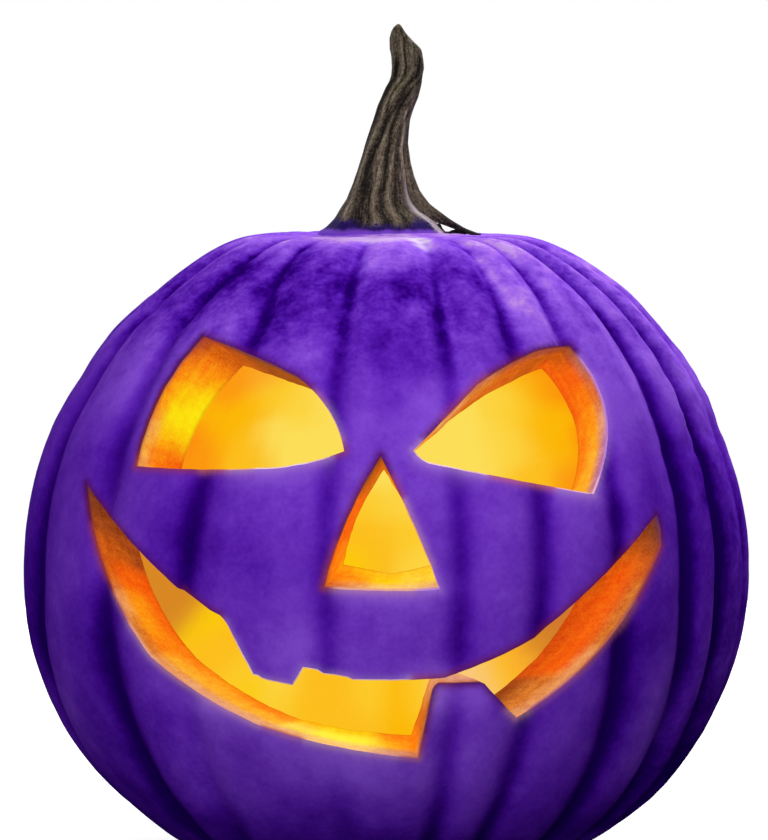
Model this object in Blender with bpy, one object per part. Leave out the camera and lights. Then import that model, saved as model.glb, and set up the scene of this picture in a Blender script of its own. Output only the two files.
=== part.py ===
"""Carved pumpkin lantern: one hollow pumpkin with its stem, eyes, nose and mouth cut through the wall."""
import math

import bmesh
import bpy
from mathutils.geometry import tessellate_polygon

for old in list(bpy.data.objects):
    bpy.data.objects.remove(old, do_unlink=True)

MM = 0.001

# ---- the pumpkin's own sizes, in millimetres, measured up from the flat foot it rests on
BELT = 128.0            # height of the widest ring
HALF_WIDTH = 148.5      # radius there, before the ribs swell it
UPPER = 147.0           # how far the shoulder's curve rises above the belt
LOWER = 134.0           # how far the under side's curve falls below it
PIT, PIT_WIDTH = 11.0, 48.0     # the top sinks round the stem
LEAN = 0.02             # sideways per unit of height
GROOVE, GROOVE_WIDTH = 3.6, 6.5
SWELL = 2.0             # how far a rib stands out half way between its grooves
WALL = 25.0
FLOOR = 25.0

FRONT_GROOVES = (-69, -48, -32, -8.7, 12.3, 24.4, 37.6, 52.5, 63, 76)
BACK_RIBS = 13
GROOVES = list(FRONT_GROOVES)
GROOVES += [76 + 215 * i / BACK_RIBS for i in range(1, BACK_RIBS)]

# ---- the cuts.  Each corner: across, height, how far the knife leans across and up
# ---- by the time it is through the wall, and the bulge of the edge to the next corner
LEFT_EYE = (
    (-71.5, 228.0, 15, -13, 0.8),
    (-34.0, 214.5, 11, -9, 3.2),
    (-16.0, 188.0, 8, -6, 1.0),
    (-45.0, 181.5, 12, -7, 0.5),
    (-96.7, 179.0, 16, -7, 4.3),
)
RIGHT_EYE = (
    (71.5, 224.5, -10, -12, -0.5),
    (57.5, 223.4, -9, -12, -0.6),
    (35.0, 212.3, -7, -11, 0.0),
    (10.7, 188.3, -4, -6, -0.5),
    (16.0, 184.2, -5, -6, 0.0),
    (78.8, 170.5, -10, -8, -9.6),
)
NOSE = (
    (-2.0, 186.0, 3, -7, 1.8),
    (20.0, 137.6, -1, 3, 0.3),
    (-23.3, 137.6, 7, 3, 3.3),
)
MOUTH = (
    (-117.0, 167.5, 17, -10, -2.6),
    (-60.0, 122.0, 12, -2, 0.0),
    (-50.2, 103.3, 10, -1, 0.0),
    (-35.0, 100.0, 8, -1, 0.0),
    (-30.5, 106.5, 8, -1, -0.6),
    (0.0, 102.0, 2, -1, -4.2),
    (54.0, 115.5, -12, -3, -1.0),
    (104.0, 159.5, -21, -10, 0.6),
    (106.2, 148.5, -22, -9, 7.3),
    (49.2, 88.0, -21, -4, 0.0),
    (36.5, 101.0, -8, -1, 0.0),
    (17.5, 101.2, -1, -1, 0.0),
    (12.0, 71.5, 0, 2, 1.0),
    (-44.7, 82.6, 11, -1, 1.8),
    (-90.0, 107.5, 16, -4, 3.4),
)
CUTS = {"left_eye": LEFT_EYE, "right_eye": RIGHT_EYE, "nose": NOSE, "mouth": MOUTH}
STEP = 8.0              # spacing of points along a cut's edge

# ---- the stem: height, centre across, half width, in millimetres
STEM = (
    (256.0, -1.5, 31.0),
    (268.5, -1.8, 24.3),
    (272.6, -1.8, 20.5),
    (276.7, -1.5, 17.6),
    (284.9, -1.0, 14.2),
    (293.0, -1.0, 11.5),
    (303.0, 0.0, 9.2),
    (311.0, 1.4, 8.2),
    (319.5, 4.6, 8.3),
    (327.5, 7.3, 7.4),
    (334.0, 8.6, 6.6),
    (339.0, 8.6, 7.0),
    (344.8, 8.4, 7.0),
)
STEM_SIDES = 16
TIP_SLOPE = 0.85        # the broken end falls to the right
ROOT = (                # a strand that leaves the stem low on the right: across, height, radius
    (9.5, 289.0, 2.6),
    (12.8, 279.5, 2.4),
    (18.5, 273.5, 2.3),
    (26.0, 269.0, 2.2),
    (35.0, 264.0, 2.4),
)


def ribs(turn):
    """Distance the skin stands out at an angle round the pumpkin, in millimetres."""
    out = 0.0
    for here, after in zip(GROOVES, GROOVES[1:] + [GROOVES[0] + 360]):
        along = ((turn - here) % 360) / (after - here)
        if along < 1:
            out = SWELL * math.sin(math.pi * along)
    for groove in GROOVES:
        away = abs((turn - groove + 180) % 360 - 180)
        out -= GROOVE * math.exp(-((math.radians(away) * HALF_WIDTH / GROOVE_WIDTH) ** 2))
    return out


def smooth(low, high, value):
    t = min(max((value - low) / (high - low), 0), 1)
    return t * t * (3 - 2 * t)


def skin(turn, latitude):
    """Point of the outer skin, in millimetres; turn 0 faces the front."""
    c = math.cos(latitude)
    s = math.sin(latitude)
    if s >= 0:
        radius = HALF_WIDTH * c
        height = UPPER * s - PIT * math.exp(-((radius / PIT_WIDTH) ** 2))
        keep = smooth(16, 48, radius)
    else:
        radius = HALF_WIDTH * c ** (2 / 2.1)
        height = -LOWER * (-s) ** (2 / 2.1)
        keep = smooth(40, 75, radius)
    out = ribs(turn) * keep
    radius += out * c
    height = max(height + out * s, -BELT)
    a = math.radians(turn)
    return (radius * math.sin(a) + LEAN * height, -radius * math.cos(a), height + BELT)


def front_skin(across, height):
    """The skin straight behind a point seen from the front."""
    up = height - BELT
    if up >= 0:
        girth = HALF_WIDTH * math.sqrt(1 - (up / UPPER) ** 2)
    else:
        girth = HALF_WIDTH * (1 - (-up / LOWER) ** 2.1) ** (1 / 2.1)
    x = across - LEAN * up
    return -math.sqrt(max(girth ** 2 - x ** 2, 25.0))


def hollow_wall(across, height):
    up = height - BELT
    if up >= 0:
        girth = (HALF_WIDTH - WALL) * (1 - (up / 113) ** 2.3) ** (1 / 2.3)
    else:
        girth = (HALF_WIDTH - WALL) * (1 - (-up / 109) ** 2.1) ** (1 / 2.1)
    x = across - LEAN * up
    return -math.sqrt(max(girth ** 2 - x ** 2, 25.0))


def edge_points(corners):
    """Walk a cut's edge: points with their knife direction."""
    points = []
    for first, second in zip(corners, corners[1:] + corners[:1]):
        x0, z0, dx0, dz0, bulge = first
        x1, z1, dx1, dz1, _ = second
        length = math.hypot(x1 - x0, z1 - z0)
        count = max(1, round(length / STEP))
        nx, nz = -(z1 - z0) / length, (x1 - x0) / length
        for i in range(count):
            t = i / count
            sag = 4 * t * (1 - t) * bulge
            x = x0 + (x1 - x0) * t + nx * sag
            z = z0 + (z1 - z0) * t + nz * sag
            dx = dx0 + (dx1 - dx0) * t
            dz = dz0 + (dz1 - dz0) * t
            start = (x, front_skin(x, z), z)
            end = (x + dx, hollow_wall(x + dx, z + dz), z + dz)
            points.append((start, [e - s for s, e in zip(start, end)]))
    return points


def new_object(name, bm):
    bmesh.ops.triangulate(bm, faces=bm.faces[:])
    bmesh.ops.recalc_face_normals(bm, faces=bm.faces[:])
    mesh = bpy.data.meshes.new(name)
    bm.to_mesh(mesh)
    bm.free()
    made = bpy.data.objects.new(name, mesh)
    bpy.context.scene.collection.objects.link(made)
    return made


def flat_foot(bm, ring, size):
    """Close the lowest ring with one large triangle in the middle and slivers round it."""
    floor = min(v.co.z for v in ring)
    corners = []
    for k in range(3):
        a = 2 * math.pi * k / 3 + 0.5
        corners.append(bm.verts.new((size * math.cos(a) * MM, size * math.sin(a) * MM, floor)))
    facing = []
    for v in ring:
        facing.append(min(range(3), key=lambda k: (v.co - corners[k].co).length))
    for i in range(len(ring)):
        j = (i + 1) % len(ring)
        bm.faces.new((ring[i], ring[j], corners[facing[i]]))
        if facing[i] != facing[j]:
            bm.faces.new((ring[j], corners[facing[j]], corners[facing[i]]))
    bm.faces.new(corners)


def skin_rings(rings, name, foot=None):
    """Close a stack of rings of points, in millimetres, into a solid."""
    bm = bmesh.new()
    rows = [[bm.verts.new([v * MM for v in p]) for p in ring] for ring in rings]
    for low, high in zip(rows, rows[1:]):
        for i in range(len(low)):
            j = (i + 1) % len(low)
            bm.faces.new((low[i], low[j], high[j], high[i]))
    if foot:
        flat_foot(bm, rows[0], foot)
    else:
        bm.faces.new(rows[0])
    bm.faces.new(rows[-1])
    return new_object(name, bm)


def columns():
    turns = []
    for here, after in zip(GROOVES, GROOVES[1:] + [GROOVES[0] + 360]):
        turns += [here + (after - here) * i / 4 for i in range(4)]
    return turns


def make_body():
    low = -math.asin((BELT / LOWER) ** (2.1 / 2))
    lats = [low + (math.radians(80) - low) * i / 22 for i in range(23)]
    rings = [[skin(turn, lat) for turn in columns()] for lat in lats]
    return skin_rings(rings, "pumpkin", foot=28)


def make_hollow():
    rings = []
    for i in range(15):
        lat = math.radians(-70 + 155 * i / 14)
        c, s = math.cos(lat), math.sin(lat)
        if s >= 0:
            radius, up = (HALF_WIDTH - WALL) * c ** (2 / 2.3), 113 * s ** (2 / 2.3)
        else:
            radius, up = (HALF_WIDTH - WALL) * c ** (2 / 2.1), -109 * (-s) ** (2 / 2.1)
        up = max(up, FLOOR - BELT)
        ring = []
        for k in range(36):
            a = 2 * math.pi * (k + 0.5) / 36
            ring.append((radius * math.sin(a) + LEAN * up, -radius * math.cos(a), up + BELT))
        rings.append(ring)
    return skin_rings(rings, "hollow")


def make_stem():
    rings = []
    for n, (height, across, half) in enumerate(STEM):
        ring = []
        for k in range(STEM_SIDES):
            a = 2 * math.pi * k / STEM_SIDES
            ridge = 1 + 0.07 * math.cos(5 * a + 0.04 * height)
            x = half * ridge * math.cos(a)
            tip = -TIP_SLOPE * x if n == len(STEM) - 1 else 0
            tip = tip * 0.5 if n == len(STEM) - 2 else tip
            ring.append((across + x, half * ridge * math.sin(a), height + tip))
        rings.append(ring)
    return skin_rings(rings, "stem")


def make_root():
    rings = []
    for i, (x, z, radius) in enumerate(ROOT):
        before = ROOT[max(i - 1, 0)]
        after = ROOT[min(i + 1, len(ROOT) - 1)]
        dx, dz = after[0] - before[0], after[1] - before[1]
        size = math.hypot(dx, dz)
        ring = []
        for k in range(8):
            a = 2 * math.pi * k / 8
            side = radius * math.cos(a)
            ring.append((x - side * dz / size, -5.0 + radius * math.sin(a), z + side * dx / size))
        rings.append(ring)
    return skin_rings(rings, "root")


def make_cut(name, corners):
    """A plug the shape of one cut, from well outside the skin to just inside the hollow."""
    points = edge_points(corners)
    flat = [(start[0], start[2], 0) for start, _ in points]
    ends = tessellate_polygon([flat])
    bm = bmesh.new()
    rows = []
    for reach in (-0.8, 1.25):
        ring = [[(s + reach * d) * MM for s, d in zip(start, lean)] for start, lean in points]
        rows.append([bm.verts.new(p) for p in ring])
    for i in range(len(points)):
        j = (i + 1) % len(points)
        bm.faces.new((rows[0][i], rows[0][j], rows[1][j], rows[1][i]))
    for row in rows:
        for end in ends:
            bm.faces.new([row[i] for i in end])
    return new_object(name, bm)


def combine(target, tool, how):
    step = target.modifiers.new(how, "BOOLEAN")
    step.operation = how
    step.solver = "EXACT"
    step.object = tool
    depsgraph = bpy.context.evaluated_depsgraph_get()
    mesh = bpy.data.meshes.new_from_object(target.evaluated_get(depsgraph))
    target.modifiers.clear()
    target.data = mesh
    bpy.data.objects.remove(tool, do_unlink=True)


pumpkin = make_body()
combine(pumpkin, make_stem(), "UNION")
combine(pumpkin, make_root(), "UNION")
combine(pumpkin, make_hollow(), "DIFFERENCE")
for cut_name, cut_corners in CUTS.items():
    combine(pumpkin, make_cut(cut_name, cut_corners), "DIFFERENCE")

tidy = bmesh.new()
tidy.from_mesh(pumpkin.data)
bmesh.ops.remove_doubles(tidy, verts=tidy.verts[:], dist=0.00005)
bmesh.ops.dissolve_degenerate(tidy, dist=0.00005, edges=tidy.edges[:])
bmesh.ops.triangulate(tidy, faces=tidy.faces[:])
for v in tidy.verts:
    if abs(v.co.z) < 0.00001:
        v.co.z = 0
tidy.to_mesh(pumpkin.data)
tidy.free()
pumpkin.data.name = "pumpkin"
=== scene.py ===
"""Carved pumpkin lantern: a hollow violet pumpkin with its stem, a face cut through its wall, and a glow."""
import math

import bmesh
import bpy
import numpy as np
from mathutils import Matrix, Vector, kdtree, noise
from mathutils.bvhtree import BVHTree


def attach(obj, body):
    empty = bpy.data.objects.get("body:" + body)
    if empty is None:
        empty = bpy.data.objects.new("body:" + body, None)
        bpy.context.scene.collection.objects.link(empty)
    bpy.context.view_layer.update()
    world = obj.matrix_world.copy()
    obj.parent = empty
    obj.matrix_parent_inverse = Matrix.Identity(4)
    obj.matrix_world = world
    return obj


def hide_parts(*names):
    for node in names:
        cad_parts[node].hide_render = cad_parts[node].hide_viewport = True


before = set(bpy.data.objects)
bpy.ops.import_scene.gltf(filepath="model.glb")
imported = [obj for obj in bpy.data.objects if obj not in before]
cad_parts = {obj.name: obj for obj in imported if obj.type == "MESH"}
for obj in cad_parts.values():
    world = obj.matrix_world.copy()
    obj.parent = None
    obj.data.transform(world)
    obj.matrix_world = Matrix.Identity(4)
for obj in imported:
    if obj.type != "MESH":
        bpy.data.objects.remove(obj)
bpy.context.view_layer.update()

MM = 0.001

# ---- sizes of the solid, in millimetres, measured up from the flat foot it rests on
BELT = 128.0            # height of the widest ring
HALF_WIDTH = 148.5      # radius there, before the ribs swell it
UPPER = 147.0           # how far the shoulder's curve rises above the belt
LOWER = 134.0           # how far the under side's curve falls below it
PIT, PIT_WIDTH = 11.0, 48.0     # the top sinks round the stem
UNDER_CURVE = 2.1       # how full the under side's curve is; 2 is an ellipse
LEAN = 0.02             # sideways per unit of height
SWELL = 1.5             # how far a rib stands out half way between its grooves
WALL = 25.0
FLOOR = 25.0
HOLLOW_UPPER, HOLLOW_LOWER = UPPER - 34, LOWER - 25     # the scraped inside, above and below the belt
HOLLOW_CURVE = 2.3      # how full its upper half is
COLLAR, COLLAR_AT, COLLAR_WIDTH = 1.5, 17.0, 8.0        # the skin climbs the foot of the stem
SHOULDER, SHOULDER_AT, SHOULDER_WIDTH = 1.7, 60.0, 15.0
# ---- distances from the axis over which a form fades in
RIBS_ABOVE = (20, 84)
RIBS_BELOW = (40, 75)
SHADE_ABOVE = (22, 52)
FLANKS_IN = (30, 80)
# ---- low bumps on the right cheek: across, height, how far they reach across and up
CHEEK_BUMPS = (118, 190, 24, 26)

COLUMNS, ROWS = 320, 184        # faces of the skin, closer together in front
CROWDING = 0.35
HOLLOW_COLUMNS, HOLLOW_ROWS = 112, 64

# ---- how the grown shape leaves an even one: height, then outwards on the left and on the right
FLANKS = (
    (20.0, -2.2, 0.3),
    (45.0, -1.4, 1.6),
    (70.0, -1.2, 0.5),
    (95.0, -0.3, 0.4),
    (115.0, 0.05, 0.2),
    (140.0, 0.35, -0.4),
    (165.0, 1.2, -1.0),
    (185.0, 1.3, -1.7),
    (205.0, 0.1, -0.3),
    (225.0, 1.3, -0.3),
    (240.0, 0.4, 0.6),
    (255.0, 1.6, 0.5),
)

# ---- grooves between the ribs: turn at the belt, drift per 100 mm of height below and above it, swing at
# ---- the top (all in degrees), depth, width and width of the painted shade (mm), how dark the painted shade is low and high
# ---- the grooves' darkness is partly the skin's own colour and partly painted shade, strongest and lopsided
# high on the right
GROOVES = [
    (-69.3, 6.0, -3.0, 0.0, 2.2, 8.0, 7.0, 0.60, 0.65),
    (-48.0, -3.5, -3.5, 0.0, 2.2, 8.0, 8.0, 0.95, 0.80),
    (-31.5, 0.0, 2.5, -7.0, 1.5, 8.0, 6.0, 0.20, 0.80),
    (-8.7, -1.5, -1.5, -0.5, 1.4, 7.5, 5.0, 0.15, 0.75),
    (11.0, 1.0, -0.3, 2.6, 1.4, 7.5, 5.0, 0.72, 0.80),
    (23.4, 2.3, 1.5, 3.0, 1.4, 7.0, 5.0, 0.75, 0.85),
    (37.6, -2.0, 0.5, 4.0, 2.0, 7.0, 5.5, 0.75, 1.05),
    (52.5, -2.5, 3.0, 0.0, 2.9, 7.0, 6.0, 0.60, 1.45),
    (63.3, -1.5, 3.5, 0.0, 3.0, 6.5, 6.0, 0.70, 1.45),
    (78.0, 2.0, 2.0, 0.0, 1.0, 6.0, 6.0, 0.40, 0.30),
]
BACK_FROM, BACK_SPAN, BACK_RIBS = 78, 212.7, 13         # even ribs round the back
for rib in range(1, BACK_RIBS):
    GROOVES.append((BACK_FROM + BACK_SPAN * rib / BACK_RIBS, 0.0, 0.0, 0.0, 2.8, 7.5, 6.5, 0.8, 0.8))

# ---- painted light and shade, with the skin's own uneven colour: where the skin is paler (+) or darker (-): turn, height, how much, reach in degrees and in mm
SKIN_LIGHT_AND_SHADE = (
    # the crown
    (-74, 265, 0.12, 12, 4), (-47, 254, -0.10, 6, 8), (-37, 256, 0.25, 2.5, 8), (-29, 257, -0.40, 4, 6),
    (-22, 263, 0.32, 30, 5), (-3, 256, 0.32, 11, 4), (0, 266, 0.36, 300, 6), (0, 266, 0.16, 110, 4),
    (14, 256, 0.15, 4, 5), (15, 262, 0.32, 6, 5), (17, 256, -0.40, 3.5, 8), (33, 252, 0.12, 4, 12),
    (43.5, 250, 0.28, 1.8, 16), (47, 256, 0.12, 5, 9), (54, 252, 0.12, 5, 10), (56, 250, 0.22, 30, 17),
    (66, 252, 0.14, 20, 14), (82, 252, 0.20, 8, 16),
    # the shoulder, above the eyes
    (-80, 226, 0.22, 6, 12), (-69, 233, -0.09, 8, 14), (-50, 248, -0.10, 14, 12), (-42, 246, -0.12, 20, 14),
    (-36, 234, 0.40, 4, 12), (-24, 240, -0.08, 20, 22), (-18, 245, -0.10, 15, 6), (-17, 226, 0.24, 5, 12),
    (-14, 248, -0.20, 2.5, 10), (4, 236, -0.19, 16, 20), (12.8, 240, 0.26, 1.0, 22), (21, 246, -0.22, 5, 8),
    (24.0, 244, -0.15, 2.2, 14), (29.2, 246, 0.30, 1.3, 18), (33, 238, 0.32, 5, 26), (36, 230, 0.12, 5, 5),
    (50, 225, 0.20, 1.5, 25), (54, 235, 0.06, 8, 12), (58.5, 230, 0.25, 1.5, 25), (72, 246, 0.12, 16, 14),
    # beside and between the eyes
    (-84, 215, 0.10, 14, 24), (-56, 184, -0.12, 8, 14), (-54.2, 212, 0.14, 1.0, 14),
    (-52, 208, 0.30, 12, 24), (-18, 178, 0.14, 8, 5), (-18, 205, -0.06, 6, 8), (0, 206, -0.12, 4, 8),
    (8, 182, 0.16, 24, 46), (8, 205, 0.20, 7, 14), (34, 180, 0.16, 8, 12), (36, 172, 0.15, 4, 6),
    (45, 176, -0.14, 4, 12), (48, 190, -0.10, 3.5, 12), (48, 208, -0.10, 4, 10), (52, 208, 0.36, 22, 26),
    (54, 202, -0.10, 4, 9), (60, 171, -0.11, 3, 16), (78, 212, 0.40, 14, 28),
    # the cheeks and the nose
    (-49, 140, 0.20, 3, 10), (-48, 141, 0.14, 3, 6), (-48, 156, 0.32, 4, 18), (-42, 150, 0.16, 4, 8),
    (-33, 150, -0.18, 8, 22), (-21, 148, -0.12, 5, 12), (-8, 160, 0.14, 3, 10), (0, 134, 0.18, 7, 4),
    (8, 140, 0.12, 5, 5), (42, 151, 0.26, 4, 5), (46, 150, -0.10, 5, 70), (65, 150, -0.32, 8, 46),
    (79, 150, -0.10, 9, 60), (84, 145, -0.09, 9, 28),
    # at the height of the smile
    (-81, 125, 0.05, 8, 16), (-72, 104, -0.22, 15, 20), (-72, 128, -0.26, 6, 36), (-12, 112, 0.20, 8, 14),
    (0, 120, 0.06, 16, 24), (9, 100, 0.28, 6, 9), (43, 118, -0.13, 4, 16), (54, 120, 0.10, 4, 50),
    (57, 112, -0.22, 5, 46), (60, 118, 0.20, 4, 42), (66, 120, 0.12, 3, 40),
    # round and under the mouth
    (-64, 96, 0.20, 6, 32), (-48, 90, -0.16, 8, 50), (-36, 84, -0.14, 5, 10), (-30, 91, 0.14, 4, 5),
    (-27, 91, 0.30, 6, 6), (-24, 78, 0.20, 14, 16), (-22, 72, -0.16, 5, 8), (2, 70, 0.34, 14, 14),
    (6, 74, -0.24, 4, 10), (6, 90, 0.10, 4, 14), (9, 95, 0.30, 6, 10), (36, 76, 0.14, 3, 20),
    (40, 82, -0.22, 5, 36), (42, 84, -0.10, 3, 26), (46, 60, 0.14, 9, 12), (48, 78, 0.34, 5, 34),
    (48, 88, -0.10, 3, 30), (54, 70, 0.12, 4, 10), (66, 88, -0.12, 4, 26),
    # the under side, darker with painted shade
    (-60, 40, -0.22, 30, 24), (0, 28, -0.30, 60, 16), (66, 48, -0.40, 30, 30),
)

# ---- the cuts.  Each corner: across, height, how far the knife leans across and up
# ---- by the time it is through the wall, and the bulge of the edge to the next corner
LEFT_EYE = (
    (-71.5, 228.0, 15, -13, 0.8),
    (-34.0, 214.5, 11, -9, 3.2),
    (-16.0, 188.0, 8, -6, 1.0),
    (-45.0, 181.5, 12, -7, 0.5),
    (-96.7, 179.0, 16, -7, 4.3),
)
RIGHT_EYE = (
    (71.5, 224.5, -10, -10.5, -0.5),
    (57.5, 223.4, -9, -13.5, -0.6),
    (35.0, 212.3, -7, -13, 0.0),
    (10.7, 188.3, -4, -6, -0.5),
    (16.0, 184.2, -5, -6, 0.0),
    (78.8, 170.5, -10, -8, -9.6),
)
NOSE = (
    (-2.0, 186.4, 1.2, -7.5, 0.7),
    (20.0, 137.4, -1, 5.8, 0.0),
    (0.0, 137.2, 2, 2.9, 0.0),
    (-23.3, 138.0, 7, 5.2, 2.2),
)
MOUTH = (
    (-117.6, 170.0, 17, -12, -1.2),
    (-79.5, 134.8, 14, -4, 0.0),
    (-77.0, 134.2, 14, -4, 0.0),
    (-66.8, 127.3, 12, -1, 0.0),
    (-63.0, 125.6, 8, 0, 0.5),
    (-58.8, 119.4, 4, 2, 0.0),
    (-50.4, 103.4, 2, 2, 0.3),
    (-47.0, 102.0, 2, 2, 0.0),
    (-35.2, 99.9, 2, 2, 0.0),
    (-31.0, 106.9, 2, 2, 0.0),
    (-26.0, 106.3, 2, 2, 0.0),
    (-23.6, 104.9, 2, 2, 0.0),
    (-14.5, 103.7, 2, 2, 0.0),
    (-12.6, 102.8, 2, 2, -0.5),
    (22.0, 103.4, 0, 1, -0.8),
    (56.0, 117.2, -10, 0, 0.0),
    (60.2, 120.9, -12, -2, -1.4),
    (104.4, 160.0, -25, -11, 0.6),
    (106.2, 148.5, -26, -9, 7.3),
    (49.4, 86.8, -22, -4, 0.0),
    (38.6, 99.2, -9, -1, -0.4),
    (35.4, 101.4, -7, -1, 0.0),
    (19.6, 101.5, -1, 0, -0.3),
    (17.4, 99.0, -1, -0.5, 0.0),
    (14.3, 83.0, -2.2, 0, 0.0),
    (12.0, 71.5, -2.5, 4.2, 1.0),
    (-44.7, 82.6, 11, -1, 1.8),
    (-90.0, 107.5, 16, -4, 4.8),
)
CUTS = {"left_eye": LEFT_EYE, "right_eye": RIGHT_EYE, "nose": NOSE, "mouth": MOUTH}
EDGE_STEP = 2.0         # spacing of points along a cut's edge
BEVEL = 0.6             # the rind is broken off this far round a cut
BEVEL_DEEP = 0.8        # and this far in
PLUG_OUT, PLUG_IN = 20, 6       # how far a plug stands out of the skin and into the hollow
SHAKE = 0.22            # the hand's unsteadiness
WALL_RINGS = 12
FINE_REACH = 0.0055     # the skin's faces are finer this close to a cut (metres)

# ---- the stem: height, its left side, its right side
STEM = (
    (262.5, -29.5, 26.0), (264.4, -28.6, 25.0), (266.0, -27.6, 24.0), (267.3, -25.2, 22.9),
    (269.4, -23.0, 21.0), (271.0, -21.4, 18.9), (272.7, -20.3, 16.6), (274.3, -19.4, 14.0),
    (276.0, -18.3, 12.5), (278.8, -16.4, 10.6), (281.7, -15.2, 9.9), (285.8, -13.5, 9.3),
    (289.9, -12.1, 9.0), (294.0, -10.9, 8.9), (298.2, -9.6, 8.9), (301.0, -8.8, 9.0), (306.4, -7.0, 9.3),
    (311.7, -5.1, 9.9), (317.5, -3.3, 11.9), (320.8, -1.8, 13.3), (324.9, 0.0, 14.4), (328.0, 1.5, 14.8),
    (330.2, 2.2, 14.9), (333.1, 2.4, 15.1), (338.4, 2.1, 15.6), (343.0, 1.5, 15.4), (350.8, 1.4, 14.6),
)
STEM_SIDES, STEM_ROWS = 160, 170
# ---- how high the broken top reaches: across, height
TOP = (
    (1.4, 346.2), (1.9, 348.4), (2.9, 350.1), (4.1, 350.6), (5.4, 350.1), (7.0, 348.2), (9.1, 345.8),
    (11.1, 343.9), (12.8, 343.0), (14.4, 341.6), (15.6, 339.6),
)
# ---- ridges (+) and cracks (-) of the bark: how strong, how wide in degrees, then their way up: height, turn
BARK = (
    (0.8, 6, ((271, -53), (281, -57), (290, -60), (299, -55), (308, -44), (312, -36), (317, -40), (322, -38),
              (326, -32), (331, -17), (335, -14), (340, -18), (345, -17))),
    (0.6, 8, ((265, -6), (271, -6), (281, -7), (290, -6), (299, -14), (308, -6), (314, 0))),
    (0.5, 8, ((320, -24), (322, -19), (326, -7), (331, 12), (335, 18), (340, 16), (350, 12))),
    (1.3, 6, ((265, 86), (271, 74), (276, 66), (281, 64), (290, 58), (299, 44), (308, 47), (314, 40))),
    (0.4, 8, ((268, 18), (281, 19), (290, 18), (299, 25), (308, 24), (312, 30))),
    (0.5, 9, ((314, 70), (317, 62), (322, 44), (326, 33), (328, 33))),
    (-1.0, 9, ((268, -32), (281, -35), (290, -40), (299, -33), (308, -17), (312, -14), (317, 1), (322, 7),
               (326, 13), (331, 37), (335, 49), (342, 53))),
    (-0.9, 7, ((266, 2), (281, 5), (290, 7), (299, 7), (308, 7), (312, 10), (317, 17), (322, 24), (326, 43),
               (331, 70))),
    (-0.8, 4, ((315, -26), (319, -30), (322, -33), (326, -20), (331, -7), (335, -4), (340, -10), (346, -7))),
    (-0.6, 6, ((268, 25), (281, 31), (290, 34), (299, 31), (308, 37), (313, 52))),
    (-1.3, 12, ((292, -92), (300, -88), (308, -78), (312, -70), (317, -68), (322, -66), (326, -58),
                (331, -50), (334, -46))),
    (-0.6, 6, ((272, -16), (276, -17), (281, -21), (285, -25), (288, -25))),
    (-1.0, 7, ((270, 88), (281, 80), (290, 76), (299, 70), (308, 76), (316, 92))),
    (0.8, 12, ((264, 118), (290, 122), (310, 140), (330, 165), (350, 190))),
    (0.8, 13, ((264, 160), (290, 162), (310, 180), (330, 205), (350, 230))),
    (0.8, 12, ((264, 205), (290, 205), (310, 222), (330, 246), (350, 262))),
    (0.7, 12, ((264, 250), (290, 252), (310, 262), (330, 280), (350, 296))),
    (-1.0, 8, ((264, 138), (290, 142), (310, 160), (330, 185), (350, 212))),
    (-1.0, 8, ((264, 184), (290, 184), (310, 201), (330, 226), (350, 246))),
    (-1.0, 8, ((264, 230), (290, 230), (310, 243), (330, 262), (350, 278))),
)
RIDGE_OUT = 0.075       # how far a full ridge stands out, as a share of the half width
TWIST = 50.0            # degrees the fibres turn on their way up,
TWISTED = (296, 336)    # between these heights
TOP_FROM = 325.0        # above this height the rows lean to the slant of the broken top
TOP_IN = 0.22           # how far the broken top narrows
FOOT_FLAT = 0.22        # how far the foot is flattened, front to back,
FOOT_ROUNDS = (264, 280)        # until it is round again between these heights
FOOT_LINE = 268.8       # where the skin's violet ends on the stem
# ---- pale light low on the stem's right side: turn, reach in degrees, and the heights where it ends
ROOT_LIT = (74, 14, 270, 280)
SIDE_LIT = (64, 8, 276, 298)
# ---- a strand that leaves the stem low on the right, and a thinner, darker one under it, which also draws the dark shadow line there: across, height, radius
STRAND = (
    (8.2, 302.0, 0.8), (8.6, 294.0, 1.4), (9.6, 287.9, 1.9), (11.6, 281.7, 2.3), (13.4, 278.9, 2.5),
    (16.2, 275.5, 2.5), (19.2, 273.4, 2.4), (22.3, 271.5, 2.2), (25.2, 269.9, 1.7), (27.9, 268.5, 1.35),
    (32.0, 266.4, 1.0), (36.0, 265.0, 0.8), (39.0, 264.4, 0.4),
)
SHADOW_LINE_THREAD = (
    (21.2, 269.0, 1.0), (22.6, 266.8, 0.7), (24.0, 265.5, 0.5), (25.6, 265.3, 0.5), (27.2, 265.9, 0.7),
    (29.5, 266.0, 0.9), (33.0, 265.4, 0.8),
)
STRAND_DEPTH = -4.0             # in front of the stem's axis
STRAND_SIDES, STRAND_ROWS = 14, 50


# =============================================================================== shader words
FACTOR, FIRST, SECOND, MIXED = 0, 6, 7, 2       # sockets of a Mix node that mixes colours
AS_COLOUR, AS_NUMBER = 0, 2     # outputs of an Attribute node


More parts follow.
